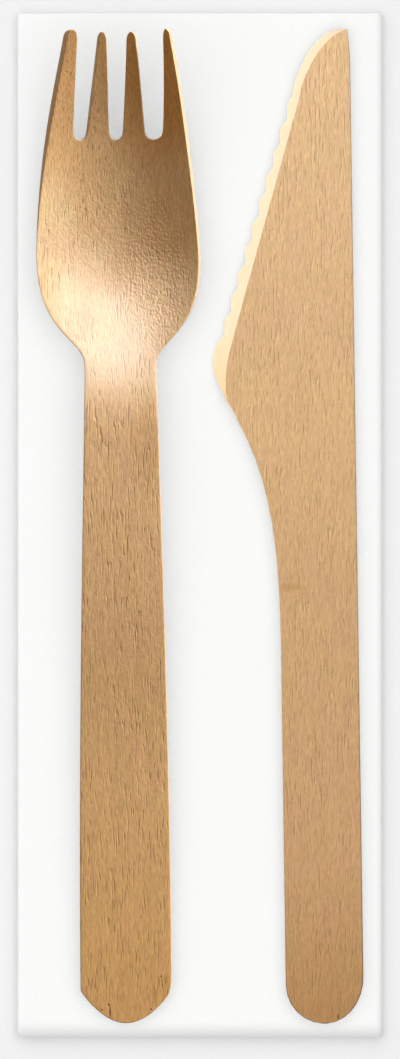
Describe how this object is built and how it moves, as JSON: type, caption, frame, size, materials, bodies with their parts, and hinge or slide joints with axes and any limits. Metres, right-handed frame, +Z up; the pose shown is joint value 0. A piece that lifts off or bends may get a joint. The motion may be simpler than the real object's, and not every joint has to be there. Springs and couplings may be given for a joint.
{
  "type": "wooden cutlery set with napkin",
  "caption": "Pressed wooden fork and saw-edged wooden knife lying side by side on a folded white paper napkin, for a takeaway meal.",
  "frame": {"origin": "centre of the folded napkin's underside, on the surface that the set lies on", "axes": "+Z up, +Y along the napkin from the handle ends to the tines and the knife's tip, +X from the fork to the knife"},
  "size_m": [0.0588, 0.165, 0.0121],
  "materials": {
    "tissue_paper": "soft white tissue, matt",
    "pressed_birch": "hot-pressed birch veneer with fine pores and a satin sheen",
    "sanded_birch": "flat birch veneer with fine pores, matt, with a pale sanded bevel"
  },
  "bodies": {
    "root": {"napkin": "tissue_paper", "fork": "pressed_birch", "knife": "sanded_birch"}
  },
  "joints": []
}
